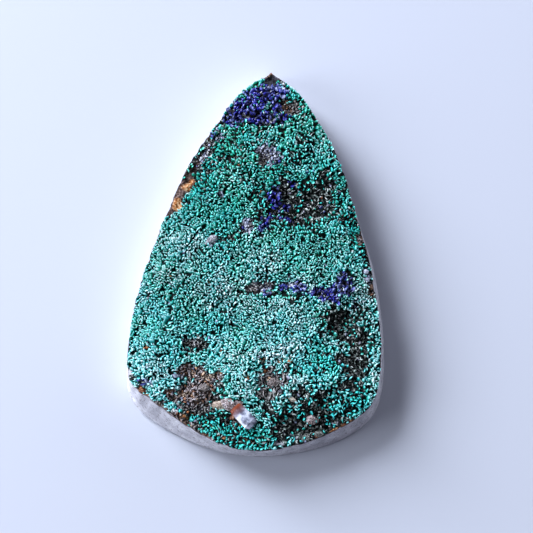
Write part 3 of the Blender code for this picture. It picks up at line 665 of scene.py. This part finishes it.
row, column = np.divmod(triangles - 1, AROUND)
row[triangles == 0] = 0
first_side, last_side = CRUST_ROWS - 1, CRUST_ROWS + SIDE_ROWS + TURN_ROWS - 1
flat_map = (np.array(CRUST_AT) + corners[:, :2] * PER_MM)[triangles]
flat_map[row.max(1) > last_side, :, 0] += BACK_SHIFT
seam = (np.ptp(column, axis=1) > AROUND / 2)[:, None] & (column < AROUND / 2)
column = column + AROUND * seam
up = (row - first_side) / (last_side - first_side)
strip_map = np.stack([STRIP_AT + STRIP_LONG * column / AROUND, STRIP_AT + STRIP_HIGH * up], -1)
on_side = (row.min(1) >= first_side) & (row.max(1) <= last_side)
body_map = np.where(on_side[:, None, None], strip_map, flat_map)
print("side:", int(on_side.sum()), "of", len(triangles), "triangles")

# %% The stone takes the solid's place
x, y = corners[:, 0], corners[:, 1]
body = put_in(
    "stone_body", corners, triangles, rock, "quartz_rock", body_map, True,
    depth=depths, along=np.arctan2(y, x) * np.hypot(x, y),  # along: distance round the stone
    **{name: patch(x, y, name) for name in (*SKINS, "bare")},
)
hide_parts("stone")

# %% [markdown]
# ## Cut by the wheel
# Crystals at the edge were cut by the wheel like the rock, so corners past the edge are pulled back
# onto it. A Boolean would cut them too, but ten thousand of them would keep it busy for an hour.

# %% Trimming at the edge
PROUD = 0.06  # how far a cut crystal may stand past the edge


def trimmed(points):
    """Points past the crust's edge moved in to it, more or less, on their line from the middle."""
    limit = edge_at(points[..., 0], points[..., 1]) + rng.uniform(-PROUD, PROUD, points.shape[:-1])
    share = np.minimum(1, limit / np.maximum(np.hypot(points[..., 0], points[..., 1]), 1))
    return points * np.stack([share, share, np.ones_like(share)], -1)


print("edge at the tip:", edge_at(0.0, 1.0).round(1), "mm from the middle")

# %% [markdown]
# ## A map for the crystals
# The bake needs to know where each crystal lies in its picture too. Each gets a square of its own, seen
# from the tip, so that its colour from foot to tip runs from the square's border to its middle.

# %% The crystals' map
MAP_EDGE = 0.45  # a crystal's half-width on its square of the map
MAP_FOOT = 0.07  # the same for the face under its foot


def crystal_map(rows, sides, count):
    """A square for each crystal, with its rings evenly apart round the middle. The face under its foot
    has a small disc in the square's corner."""
    one = shells(rows, sides, 1)
    ring = np.clip((one - 1) // sides + 1, 0, rows)
    ring[one == 0] = 0
    a = TURN * ((one - 1) % sides) / sides
    is_foot = one == rows * sides + 1
    spread = np.where(is_foot, 0, ring / rows)
    under = is_foot.any(1)[:, None]
    size = np.where(under, MAP_FOOT * ~is_foot, MAP_EDGE * spread)
    middle = np.where(under, 1 - MAP_FOOT, 0.5)
    spot = np.stack([middle + size * np.cos(a), middle + size * np.sin(a)], -1).reshape(-1, 2)
    across = math.ceil(math.sqrt(count))
    cell = np.stack(np.divmod(np.arange(count), across)[::-1], -1)
    return (cell[:, None] + spot) / across


print("map of one crystal:", crystal_map(2, 6, 1).shape[1], "corners")

# %% [markdown]
# ## Growing crystals
# A crystal is a small shell: rings of a few sides round a leaning axis, wide at the foot and narrow at
# the tip. Thousands of them are worked out together, as one array with a row for each crystal, which
# takes a second or two. Instances on points would look the same in Blender, but only real meshes leave
# it.

# %% Growing crystals
SIDES = 6  # of each crystal, few enough for flat faces that glint


def unit(vectors):
    """Vectors divided by their length."""
    return vectors / np.linalg.norm(vectors, axis=-1, keepdims=True)


def grow(name, mineral, sown, form, rough):
    """Closed crystals on their seeds. Corner j of ring k = foot + axis * tall * level_k + half *
    radius_k * (stretch * cos a_j * along + sin a_j / stretch * across), with each radius shaken by
    chance, and then moved across by bend times the square of how far along it lies, which curls the
    blade."""
    count, rows = len(sown["foot"]), len(form) - 2
    levels, radii = np.array(form).T
    axis = sown["axis"]
    flat = np.column_stack([np.cos(sown["turn"]), np.sin(sown["turn"]), np.zeros(count)])
    across = unit(np.cross(axis, flat))
    along = np.cross(across, axis)
    a = TURN * (np.arange(SIDES) + rng.uniform(0, 1, (count, 1))) / SIDES
    shaken = 1 + rough * rng.uniform(-1, 1, (count, rows, SIDES))
    size = sown["half"][:, None, None] * radii[1:-1, None] * shaken
    u = size * (np.cos(a) * sown["stretch"][:, None])[:, None]
    v = size * (np.sin(a) / sown["stretch"][:, None])[:, None] + sown["bend"][:, None, None] * u**2
    spine = sown["foot"][:, None] + axis[:, None] * (sown["tall"][:, None] * levels)[..., None]
    rings = spine[:, 1:-1, None] + along[:, None, None] * u[..., None]
    rings = rings + across[:, None, None] * v[..., None]
    points = trimmed(np.concatenate([spine[:, :1], rings.reshape(count, -1, 3), spine[:, -1:]], axis=1))
    # the level runs from 0 at the foot to 1 at the tip; the finish paints shade at its low end
    share = np.clip(np.concatenate([levels[:1], np.repeat(levels[1:-1], SIDES), levels[-1:]]), 0, 1)
    rounded_off = mineral == "iron_oxide"  # every other mineral has flat faces
    put_in(
        name, points.reshape(-1, 3), shells(rows, SIDES, count), finishes[mineral], SLOTS[mineral],
        crystal_map(rows, SIDES, count), rounded_off, level=np.tile(share, count),
        tint=np.repeat(sown["tint"], points.shape[1]), tone=np.repeat(sown["tone"], points.shape[1]),
    )


print("sides of a crystal:", SIDES)

# %% [markdown]
# ## Sowing
# Seeds lie on a net of triangles, each shaken off its knot, and a crystal's axis starts square to the
# ground. Points thrown at random would clump and leave holes, and a druse is packed as evenly as
# gravel.

# %% Sowing
PITCH = 0.285  # between seeds
SHAKE = 0.18  # how far a seed may lie off its knot, as a share of the pitch
CLEAR = 0.08  # seeds keep this far from the crust's edge
ROW = 0.866  # rows of an even net of triangles lie this share of the pitch apart
STEP = 0.15  # over which the slope is measured


def sow(pitch):
    """Places on a net of triangles, shaken, inside the crust's edge."""
    columns, rows = np.arange(-spans[0], spans[0], pitch), np.arange(-spans[1], spans[1], pitch * ROW)
    x, y = np.meshgrid(columns, rows)
    x = x + (np.arange(len(x)) % 2)[:, None] * pitch / 2
    x, y = (axis.ravel() + rng.uniform(-SHAKE, SHAKE, axis.size) * pitch for axis in (x, y))
    keep = inside(x, y) > CLEAR
    return x[keep], y[keep]


def slopes(x, y):
    """The ground's upward direction: minus its slope along x and y, and 1, at unit length."""
    dx = (ground(x + STEP, y) - ground(x - STEP, y)) / (2 * STEP)
    dy = (ground(x, y + STEP) - ground(x, y - STEP)) / (2 * STEP)
    return unit(np.column_stack([-dx, -dy, np.ones(len(x))]))


x, y = sow(PITCH)
z = ground(x, y)
up = slopes(x, y)
ridge = crest(x, y)
zones = {name: patch(x, y, name) for name in PATCHES}
print("seeds:", len(x))

# %% [markdown]
# ## What grows where
# Each seed draws lots, weighted by the patches it lies in. Two moods cover the rest of the crust:
# towards the tip it is open, with gaps and grey grains between the blades, and at both ends it is
# coarser than in the middle. Small pits where nothing grew are left all over, as in any druse.

# %% What grows where
PIT_WIDTH, PIT_LEVEL = 0.42, 0.62  # size of the pits, and the field's value above which there is one
STRAY = 0.0025  # share of quartz grains that lie anywhere, and the same of limonite
SPARE = 0.15  # share of seeds missing where the crust is open
GREYED = 0.11  # share of weathered grains there
PATCHY, PATCHY_WIDTH = 0.35, 4.0  # both moods are shifted by the random field
OPEN_FROM = 3.5  # the crust opens from here on towards the tip
COARSE_MIDDLE, COARSE_FROM = -2.5, 6  # it coarsens this far from a line across its middle
RAMP = 0.09  # share that each mood gains per mm
FULL_FROM, FULL_OVER, FULLER = -6, 5, 1.8  # from here on it coarsens more, over 5 mm, by this much
# zone: shares of what grows there in place of malachite; a later zone wins over an earlier one
MIXES = {
    "thin": {"none": 0.08, "iron_oxide": 0.36, "weathered": 0.11},
    "dark": {"iron_oxide": 0.36, "weathered": 0.37, "milky_quartz": 0.02, "none": 0.13},
    "ash": {"none": 0.13, "iron_oxide": 0.08, "weathered": 0.72, "milky_quartz": 0.01},
    "rust": {
        "none": 0.14, "iron_oxide": 0.05, "limonite": 0.14, "weathered": 0.62, "milky_quartz": 0.04,
    },
    "tan": {"none": 0.22, "limonite": 0.66, "weathered": 0.10},
    "moss": {"weathered": 0.20, "limonite": 0.05, "iron_oxide": 0.08},
    "deep": {"iron_oxide": 0.10, "weathered": 0.06, "none": 0.03},
    "chalk": {"milky_quartz": 0.02},
    "ochre": {"limonite": 0.45, "none": 0.50},
    "azurite": {"azurite": 0.84, "weathered": 0.07, "milky_quartz": 0.02, "none": 0.02},
    "pale": {"milky_quartz": 0.82, "none": 0.08},
    "stained": {"none": 1.0},
    "slate": {"none": 1.0},
    "bare": {"none": 1.0},
}
uneven = PATCHY * ripple(x, y, PATCHY_WIDTH, 73)
coarse = np.clip(RAMP * (np.abs(y - COARSE_MIDDLE) - COARSE_FROM) + uneven, 0, 1)
coarse = coarse + FULLER * np.clip((FULL_FROM - y) / FULL_OVER, 0, 1)
open_crust = np.clip(RAMP * (y - OPEN_FROM) + uneven, 0, 1)
pits = ripple(x, y, PIT_WIDTH, 61) > PIT_LEVEL
kind = np.full(len(x), "malachite", dtype=object)
kind[pits | (rng.uniform(0, 1, len(x)) < SPARE * open_crust)] = "none"
strays = rng.uniform(0, 1, len(x))
kind[strays < STRAY] = "milky_quartz"
kind[strays > 1 - STRAY] = "limonite"
kind[(strays > 0.5) & (strays < 0.5 + GREYED * open_crust)] = "weathered"
for zone, mix in MIXES.items():
    here = rng.uniform(0, 1, len(x)) < zones[zone]
    lot = rng.uniform(0, 1, len(x))
    for limit, name in zip(np.cumsum(list(mix.values())), mix):
        kind[here & (lot < limit)] = name
        lot[lot < limit] = 2  # drawn, and out of the next lots
for name in (*MINERALS, "none"):
    print("seeds of", name + ":", int((kind == name).sum()))

# %% [markdown]
# ## Seeds
# A seed says all that its crystal needs: where it stands, which way it points, how long and wide it is,
# and its colour. Neighbours turn together, in swirls, and each is tipped by chance, which makes a druse
# glitter.

# %% Seeds
SWIRL, LOOSE = 1.3, 0.16  # width of a swirl, and how far blades leave it, as a share of half a turn
BEND = 0.9  # curl of a blade, per mm
LARGER = 0.1  # growth where the crust is coarse
WIDER, TALLER = (0.85, 0.3), (0.8, 0.4)  # size off the crests, and what a crest adds


def seeds_of(chosen, half, tall, stretch, lean, tint, tone):
    """The seeds of one mineral, with half-widths, heights and stretches spread evenly between two
    limits, leans by a bell curve, and the tints and tones that belong to their places."""
    count = int(chosen.sum())
    tip = rng.normal(0, lean, (count, 2))
    wider = (WIDER[0] + WIDER[1] * ridge[chosen]) * (1 + LARGER * coarse[chosen])
    return {
        "foot": np.column_stack([x, y, z])[chosen],
        "axis": unit(up[chosen] + np.column_stack([tip, np.zeros(count)])),
        "half": rng.uniform(*half, count) * wider,
        "tall": rng.uniform(*tall, count) * (TALLER[0] + TALLER[1] * ridge[chosen]),
        "stretch": rng.uniform(*stretch, count),
        "turn": math.pi * (2 * ripple(x, y, SWIRL, 71)[chosen] + rng.normal(0, LOOSE, count)),
        "bend": rng.normal(0, BEND, count),
        "tint": np.clip(tint[chosen], 0.01, 0.99),
        "tone": np.clip(tone[chosen], 0, 1),
    }


print("share of the seeds on a crest:", (ridge > 0.5).mean().round(2))

# %% [markdown]
# ## Malachite's colours
# The crust isn't one green. Its tint drifts over the stone in bands a few millimetres wide: pale on the
# flanks and in a belt across the middle, chalky in places, deep by the hollows and in the moss. Its
# tone runs from green at the tip to turquoise at the broad end. Each part of the sum below can be left
# out to see what it does.

# %% Malachite's tint and tone
TINT = 0.675
DRIFTS = ((5.0, 0.10, 41), (1.6, 0.08, 42))  # width, strength, seed
PALE_SOUTH = 0.010  # paler towards the broad end, per mm, from y = 6 to y = -12
BELT_Y, BELT_WIDTH, BELT = -4.8, 3.0, 0.07  # a pale belt across the middle, right of x = -5
FLANK = 0.0004  # paler towards both flanks, per mm squared, above the broad end
BROAD_END, OPENED = 0.03, 0.03  # deeper at the broad end, and where the crust is open
EACH, EACH_OPEN = 0.06, 0.05  # chance from blade to blade, and what the open crust adds to it
CREST_LIGHT_AND_SHADE = 0.05  # painted light on the crests, painted shade between them
TINT_IN = {"chalk": 0.14, "dark": -0.12, "thin": -0.10, "moss": -0.30, "deep": -0.20}  # change by patch
TONE, BLUER_SOUTH = 0.54, 0.010  # tone in the middle, and its gain per mm towards the broad end
TONE_DRIFT = (0.25, 2.5, 43)  # strength, width, seed
TONE_EACH = 0.2  # chance from blade to blade

chance = rng.normal(0, 1, (2, len(x)))
above = np.clip((y + 8) / 6, -1, 1)  # -1 at the broad end, 0 at y = -8 and 1 above y = -2
drift = sum(strength * ripple(x, y, width, seed) for width, strength, seed in DRIFTS)
drift = drift - PALE_SOUTH * np.clip(y, -12, 6)
flanks = FLANK * x**2 * np.clip(above, 0, 1)
belt = BELT * np.exp(-(((y - BELT_Y) / BELT_WIDTH) ** 2)) * np.clip((x + 5) / 5, 0, 1)
# the crest term is painted light on the crests and painted shade between them
each = (EACH + EACH_OPEN * open_crust) * chance[0] + CREST_LIGHT_AND_SHADE * (ridge - 0.5)
tint = TINT + drift + flanks + BROAD_END * above + belt - OPENED * open_crust + each
for zone, change in TINT_IN.items():
    tint = tint + change * zones[zone]
strength, width, seed = TONE_DRIFT
tone = TONE - BLUER_SOUTH * y + strength * ripple(x, y, width, seed) + TONE_EACH * chance[1]
print("tint of malachite:", np.percentile(tint, (5, 50, 95)).round(2))

# %% [markdown]
# ## Malachite
# Malachite makes most of the crust: stubby, slightly curled blades 0.3 mm apart with a blunt tip. They
# are shared out between three pieces by tint, because one would be too heavy a mesh.

# %% Malachite crystals
GRAIN = ((1.0, 0.0), (0.8, 0.65), (0.05, 1.0), (-0.4, 0.0))  # level, radius
is_malachite = kind == "malachite"
limits = np.quantile(tint[is_malachite], (1 / 3, 2 / 3))
bands = {
    "malachite_deep": tint < limits[0],
    "malachite_bright": (tint >= limits[0]) & (tint < limits[1]),
    "malachite_pale": tint >= limits[1],
}
for name, band in bands.items():
    sown = seeds_of(
        is_malachite & band, half=(0.125, 0.16), tall=(0.46, 0.66), stretch=(1.1, 1.9), lean=0.18,
        tint=tint, tone=tone,
    )
    grow(name, "malachite", sown, GRAIN, rough=0.25)

# %% [markdown]
# ## Azurite
# Azurite forms larger blades with blunt, glossy ends. It is deepest in the tip's patch, and pale and
# greyish along the band across the middle, where it has begun to weather. The two could be two
# finishes, but a tint and a tone that slide with the place leave no border between them.

# %% Azurite crystals
BLADE = ((1.0, 0.0), (0.86, 0.7), (0.3, 1.0), (-0.3, 0.9), (-0.35, 0.0))  # level, radius
BLUE, BLUE_SPREAD = 0.13, 0.62  # tint of the deepest blades, and the palest's lead over it
DEEP_POWER = 1.3  # chance from 0 to 1, raised to this power, makes more deep blades than pale ones
BLUE_DRIFT, FADE_DRIFT = (0.15, 1.5, 81), (0.9, 1.1, 82)  # strength, width, seed
TIP_PALER = 0.05  # paler towards the end of the tip's patch, per mm past the line x + y = 19
UNFADED = 0.35  # chance from 0 to 1, less this, says how faded a blade is
BAND_Y, BAND_WIDTH = -4.0, 1.8  # line and half-width of the weathered band
BAND_PALER, BAND_FADED = 0.25, 0.5  # what weathering does to tint and tone there
spread = rng.uniform(0, 1, len(x))
hue = rng.uniform(0, 1, len(x))
rightwards = np.clip((8.5 - x) / 4, 0.35, 1)  # 1 left of x = 4.5, and 0.35 at the band's right end
weathering = np.exp(-(((y - BAND_Y) / BAND_WIDTH) ** 2)) * rightwards
strength, width, seed = BLUE_DRIFT
blue = BLUE + BLUE_SPREAD * spread**DEEP_POWER + strength * ripple(x, y, width, seed)
blue = blue + TIP_PALER * np.clip(x + y - 19, -2, 3)
strength, width, seed = FADE_DRIFT
faded = hue - UNFADED + strength * ripple(x, y, width, seed)
sown = seeds_of(
    kind == "azurite", half=(0.15, 0.25), tall=(0.4, 0.8), stretch=(1.1, 1.8), lean=0.55,
    tint=blue + BAND_PALER * weathering, tone=faded + BAND_FADED * weathering,
)
grow("azurite_crystals", "azurite", sown, BLADE, rough=0.15)

# %% [markdown]
# ## Iron oxide
# The other minerals are crumbs without a form of their own, and lie lower than the crystals. They could
# be balls, but the function that grows the crystals makes them too, with a low round form and more
# chance in it. Iron oxide comes first: nearly black, with a pale face here and there.

# %% Iron oxide grains
CRUMB = ((0.9, 0.0), (0.7, 0.7), (0.3, 1.0), (-0.3, 0.9), (-0.4, 0.0))  # level, radius
BLACK_POWER = 1.5  # as for azurite, and darker still
sown = seeds_of(
    kind == "iron_oxide", half=(0.11, 0.19), tall=(0.15, 0.40), stretch=(1.0, 1.9), lean=0.6,
    tint=spread**BLACK_POWER, tone=hue,
)
grow("iron_oxide_grains", "iron_oxide", sown, CRUMB, rough=0.3)

# %% [markdown]
# ## Weathered grains
# In the crust they are dark crumbs between the green blades. On the grey and brown rock they are the
# rock's own dusty skin, so they are paler there, and browner on the brown. Two pieces would show where
# one ends and the other begins, so a single piece slides from one look to the other with the patches.

# %% Weathered grains
IN_CRUST, CRUST_SPREAD = 0.26, 0.72  # tint of the darkest grains in the crust, and the palest's lead
PALE_NORTH = 0.14  # paler in the crust above y = 2
ON_ROCK, ROCK_SPREAD = 0.66, 0.3  # mean tint on the rock, and its chance
RUST_PALER = 0.05  # paler on rust
ROCK_DRIFT = (0.16, 0.8, 83)  # strength, width, seed
by_rust, by_ash, by_chance = 0.95, 0.55, 0.35  # what makes a grain brown
strength, width, seed = ROCK_DRIFT
in_crust = IN_CRUST + CRUST_SPREAD * spread**DEEP_POWER + PALE_NORTH * np.clip((y - 2) / 3, 0, 1)
on_rock = ON_ROCK + RUST_PALER * zones["rust"] + strength * ripple(x, y, width, seed)
on_rock = on_rock + ROCK_SPREAD * (spread - 0.5)
is_rock = np.maximum(zones["ash"], zones["rust"])
sown = seeds_of(
    kind == "weathered", half=(0.11, 0.18), tall=(0.25, 0.50), stretch=(1.2, 2.2), lean=0.5,
    tint=in_crust + is_rock * (on_rock - in_crust),
    tone=by_rust * zones["rust"] + by_ash * zones["ash"] + by_chance * hue,
)
grow("weathered_grains", "weathered", sown, CRUMB, rough=0.25)

# %% [markdown]
# ## Limonite and quartz grains
# Limonite is rust that has set: orange, but sandy on the tan patches, on the brown rock and near the
# tip. The quartz is clear chips of the rock, whiter on the patches where many lie together. Both are
# loose crumbs, so they take the form of the others, a little wider.

# %% Limonite grains
TIP_FROM = 15  # the tip begins here
RUSTY, RUSTY_SPREAD, TIP_DARKER = 0.28, 0.5, 0.14  # darkest tint, its chance, and the loss at the tip
by_chance, by_tan, by_tip, by_rust = 0.4, 0.6, 0.5, 0.3  # what makes a grain sandy
at_tip = y > TIP_FROM
rusty = RUSTY + RUSTY_SPREAD * spread - TIP_DARKER * at_tip
sandy = by_chance * hue + by_tan * zones["tan"] * ~at_tip + by_tip * at_tip + by_rust * zones["rust"]
sown = seeds_of(
    kind == "limonite", half=(0.13, 0.22), tall=(0.15, 0.35), stretch=(1.0, 1.6), lean=0.5,
    tint=rusty, tone=sandy,
)
grow("limonite_grains", "limonite", sown, CRUMB, rough=0.3)

# %% Quartz grains
CLOUDY, CLOUDY_SPREAD = 0.25, 0.6  # darkest tint, and its chance
OUTSIDE = 0.6  # share of that chance off the pale patches
BROWNISH = 0.6  # the most that a chip leans to brown
cloudy = CLOUDY + CLOUDY_SPREAD * spread * np.clip(OUTSIDE + zones["pale"], 0, 1)
sown = seeds_of(
    kind == "milky_quartz", half=(0.12, 0.24), tall=(0.2, 0.45), stretch=(1.0, 1.6), lean=0.5,
    tint=cloudy, tone=BROWNISH * hue,
)
grow("quartz_grains", "milky_quartz", sown, CRUMB, rough=0.25)

# %% [markdown]
# ## Lumps of rock
# Some grains are as large as a pinhead: limonite, weathered rock and quartz that broke off and were
# grown over. A broken lump has flat faces that meet at any angle. It could be modelled one by one, but
# a ball cut by a few random planes looks as broken, and each lump comes out different.

# %% Lumps
# x, y, half-length, half-width, half-height, turn in degrees, tint, tone
LUMP_TABLE = {
    "limonite": (
        (-4.0, -19.3, 0.8, 0.55, 0.5, -8, 0.44, 1.0), (-2.4, -20.3, 0.35, 0.5, 0.35, 0, 0.26, 0.5),
        (4.9, -17.9, 0.5, 0.22, 0.35, -35, 0.85, 0.9), (4.3, -13.2, 0.28, 0.22, 0.3, 0, 0.45, 0.3),
        (1.5, 19.6, 0.3, 0.25, 0.3, 0, 0.24, 0.7), (2.0, 20.4, 0.25, 0.22, 0.3, 0, 0.26, 0.7),
        (13.9, -2.8, 0.3, 0.5, 0.3, 10, 0.3, 0.7),
    ),
    "weathered": (
        (-2.9, -19.1, 0.85, 0.55, 0.5, -25, 0.5, 1.0), (-1.8, -18.8, 0.5, 0.4, 0.35, -30, 0.5, 1.0),
        (7.5, -20.2, 0.65, 0.5, 0.5, 20, 0.5, 1.0), (6.8, -22.4, 0.5, 0.4, 0.35, 10, 0.36, 0.3),
        (8.4, -21.9, 0.5, 0.35, 0.35, 0, 0.3, 0.4), (2.3, -15.9, 0.55, 0.4, 0.3, 30, 0.34, 0.9),
        (-6.2, -17.0, 0.55, 0.4, 0.3, 0, 0.36, 0.8),
    ),
    "milky_quartz": (
        (-6.6, 1.6, 0.75, 0.4, 0.35, 42, 0.34, 0.7), (13.2, -1.2, 0.3, 0.25, 0.3, 0, 0.6, 0.3),
        (-2.4, 4.0, 0.4, 0.3, 0.3, 0, 0.3, 0.3), (13.4, -2.2, 0.28, 0.25, 0.3, 0, 0.5, 0.3),
    ),
}
CUTS = 8  # planes that cut a lump
NEAR, ROUND = (0.5, 0.95), 1.4  # how far out a plane lies, and the most that a lump may reach, as shares
STEEP = 0.25  # a plane seen flatter than this doesn't cut
PITTED = (0.88, 1.12)  # chance in the reach of each corner
SET_IN = 0.3  # a lump's middle stands this share of its half-height above the ground
LUMP_ROWS, LUMP_SIDES = 15, 22
MOTTLE = 0.16  # how much the tint varies over a lump


def lumps(name, mineral):
    """Balls cut by planes. Towards a direction p a ball reaches as far as the nearest of its planes,
    which is the least of reach_k / (p . normal_k) over them; then it is stretched, turned and set in
    the ground."""
    x, y, *half, turn, tint, tone = np.array(LUMP_TABLE[mineral]).T
    down = math.pi * np.arange(1, LUMP_ROWS + 1)[:, None] / (LUMP_ROWS + 1)
    a = TURN * np.arange(LUMP_SIDES) / LUMP_SIDES
    rings = np.stack([np.sin(down) * np.cos(a), np.sin(down) * np.sin(a), np.cos(down) + 0 * a], -1)
    ball = np.concatenate([[[0, 0, 1]], rings.reshape(-1, 3), [[0, 0, -1]]])
    normals = unit(rng.normal(0, 1, (len(x), 3, CUTS)))
    facing = np.maximum(ball @ normals, STEEP)
    radius = np.minimum((rng.uniform(*NEAR, (len(x), 1, CUTS)) / facing).min(-1), ROUND)
    shape = ball * (radius * rng.uniform(*PITTED, radius.shape))[..., None]
    u, v, w = (shape[..., axis] * half[axis][:, None] for axis in range(3))
    cos, sin = np.cos(np.radians(turn))[:, None], np.sin(np.radians(turn))[:, None]
    px, py = x[:, None] + u * cos - v * sin, y[:, None] + u * sin + v * cos
    pz = (ground(x, y) + SET_IN * half[2])[:, None] + w
    varied = tint[:, None] + MOTTLE * rng.normal(0, 1, radius.shape)
    points = trimmed(np.stack([px, py, pz], -1))
    put_in(
        name, points.reshape(-1, 3), shells(LUMP_ROWS, LUMP_SIDES, len(x)), finishes[mineral],
        SLOTS[mineral], crystal_map(LUMP_ROWS, LUMP_SIDES, len(x)), False,
        # the level darkens the lower half of each lump with the finish's painted shade
        level=np.clip(0.5 + 0.5 * shape[..., 2], 0, 1).ravel(),
        tint=np.clip(varied, 0.01, 0.99).ravel(), tone=np.repeat(tone, len(ball)),
    )


lumps("limonite_lumps", "limonite")
lumps("weathered_lumps", "weathered")
lumps("quartz_lumps", "milky_quartz")

# %% [markdown]
# ## The quartz crystal
# One well-grown crystal of quartz was snapped off and lies on its side near the broad end: a stub of a
# six-sided column, milky inside, with a red-brown stain where it enters the crust. A cylinder with six
# sides would do, but the function that grew the blades grows this too, only larger and from one seed,
# and shakes its edges a little.

# %% Finish of the quartz crystal
MILK, MILK_DEPTH = 0.9, 0.15  # width of the clouds inside, and depth of the dents that they stand for
STAIN_FROM = 0.25  # the stain fades in from this level down to the foot


def stub_quartz():
    """Milky quartz: pale, nearly smooth, clouded by noise, with a stain where the level is low."""
    made, tree = start("broken_quartz")
    place = add(tree, "TexCoord").outputs["Object"]
    cloud = add(tree, "TexNoise", {"Vector": place, "Scale": 1 / (MILK * MM), "Detail": 5.0})
    cloud = cloud.outputs["Fac"]
    stops = ((0.4, "#5e5f70"), (0.5, "#9a9eb0"), (0.6, "#dadde8"))
    milk = add(tree, "ValToRGB", {0: cloud}, stops=stops).outputs[0]
    level = number(tree, "level")
    stain = add(tree, "MapRange", {"Value": level, "From Min": STAIN_FROM, "From Max": 0.0}).outputs[0]
    colour = add(tree, "MixRGB", {0: stain, 1: milk, 2: linear("#7a3a22")}).outputs[0]
    dents = add(tree, "Bump", {"Height": cloud, "Strength": 0.8, "Distance": MILK_DEPTH * MM}).outputs[0]
    glass = {"Base Color": colour, "Roughness": 0.25, "IOR": 1.54, "Normal": dents}
    stone = add(tree, "BsdfPrincipled", glass)
    add(tree, "OutputMaterial", {0: stone.outputs[0]})
    return made


finishes["stub"] = stub_quartz()
SLOTS["stub"] = "quartz_rock"
print("finish:", finishes["stub"].name)

# %% The quartz crystal
STUB = ((0.98, 0.0), (0.9, 0.72), (0.62, 1.0), (-0.8, 1.0), (-1.0, 0.8), (-1.0, 0.0))  # level, radius
STUB_X, STUB_Y, STUB_LIFT = -0.95, -20.45, 0.45  # its foot, and how far that lies above the ground
STUB_WAY = (0.74, -0.66, 0.10)  # it lies towards the broad end, tip a little up
foot_z = ground(np.array([STUB_X]), np.array([STUB_Y]))[0] + STUB_LIFT
lone = {
    "foot": np.array([[STUB_X, STUB_Y, foot_z]]), "axis": unit(np.array([STUB_WAY])),
    "half": np.array([0.93]), "tall": np.array([1.72]), "stretch": np.array([1.08]),
    "turn": np.array([0.3]), "bend": np.array([0.0]), "tint": np.array([0.5]), "tone": np.array([0.5]),
}
grow("quartz_stub", "stub", lone, STUB, rough=0.05)

# %% [markdown]
# ## The sheet
# The stone lies on a smooth pale sheet of paper, large enough to run past the picture on every side, so
# that nothing but soft shade lies round it. It isn't part of the stone.

# %% The sheet
FLOOR = 400  # half its width
SHEET_Z = -0.05  # it lies this far under the stone's back
sheet = bpy.data.meshes.new("floor")
signs = ((-1, -1), (1, -1), (1, 1), (-1, 1))
square = [(sx * FLOOR * MM, sy * FLOOR * MM, SHEET_Z * MM) for sx, sy in signs]
sheet.from_pydata(square, [], [(0, 1, 2, 3)])
floor = bpy.data.objects.new("floor", sheet)
bpy.context.scene.collection.objects.link(floor)
paper, tree = start("smooth_pale_sheet")
paper_shader = add(tree, "BsdfPrincipled", {"Base Color": linear("#cbced6"), "Roughness": 0.6})
add(tree, "OutputMaterial", {0: paper_shader.outputs[0]})
sheet.materials.append(paper)
print("sheet:", 2 * FLOOR, "mm wide")

# %% [markdown]
# ## Light
# The stone lies by a big window, on its left and a little past it. Its light comes low enough to rake
# the crust, so each crystal is bright on one flank, and the shadow is long, soft and a little blue. A
# second window, further round to the front, gives a quarter as much and lights the near side, and a
# pale wall on the right keeps the shadow beside the stone from going black. One lamp straight above
# would be simpler, but it would flatten the crust.

# %% Light
# place, width and height in mm, power in watts
LAMPS = {
    "window": ((-575, 480, 400), (340, 700), 17.0),
    "far window": ((-720, -150, 430), (400, 600), 4.3),
    "pale wall": ((620, 450, 330), (500, 400), 1.5),
}
DAYLIGHT = "#e6eeff"
ROOM, ROOM_LIGHT = "#dedfff", 0.12  # colour and strength of what comes from the rest of the room


def lamp(name, place, size, power):
    """A rectangular area lamp at a place, with its -Z axis turned to the stone."""
    data = bpy.data.lights.new(name, "AREA")
    data.shape = "RECTANGLE"
    data.size, data.size_y = size[0] * MM, size[1] * MM
    data.energy, data.color = power, linear(DAYLIGHT)[:3]
    made = bpy.data.objects.new(name, data)
    bpy.context.scene.collection.objects.link(made)
    made.location = Vector(place) * MM
    made.rotation_euler = (-Vector(place)).to_track_quat("-Z", "Y").to_euler()


for name, settings in LAMPS.items():
    lamp(name, *settings)
world = bpy.data.worlds.new("room")
bpy.context.scene.world = world
world.use_nodes = True
background = world.node_tree.nodes["Background"]
background.inputs["Color"].default_value = linear(ROOM)
background.inputs["Strength"].default_value = ROOM_LIGHT
bpy.context.scene.view_settings.view_transform = "Standard"
print("lamps:", ", ".join(LAMPS))

# %% [markdown]
# ## Camera
# The camera looks almost straight down, with a long lens that keeps the pear's shape true. Its three
# axes are worked out from how far it is tilted and turned, and written straight into its matrix.

# %% Camera
LENS, DISTANCE = 100, 193  # focal length and distance to the aim
TILT, YAW = math.radians(10), math.radians(3.4)  # from straight down, and round the vertical
AIM_X, AIM_Y = 0.6, -0.25
right = np.array([math.cos(YAW), math.sin(YAW), 0])
ahead = np.array([-math.sin(YAW), math.cos(YAW), 0])
backward = math.cos(TILT) * np.array([0, 0, 1]) - math.sin(TILT) * ahead
upward = np.cross(backward, right)
spot = (np.array([AIM_X, AIM_Y, 0]) + DISTANCE * backward) * MM
camera = bpy.data.objects.new("camera", bpy.data.cameras.new("camera"))
bpy.context.scene.collection.objects.link(camera)
camera.data.lens = LENS
camera.data.clip_start = 0.01
columns = np.column_stack([right, upward, backward, spot])
camera.matrix_world = Matrix([*columns.tolist(), [0, 0, 0, 1]])
bpy.context.scene.camera = camera
print("camera:", (spot / MM).round(1), "mm")
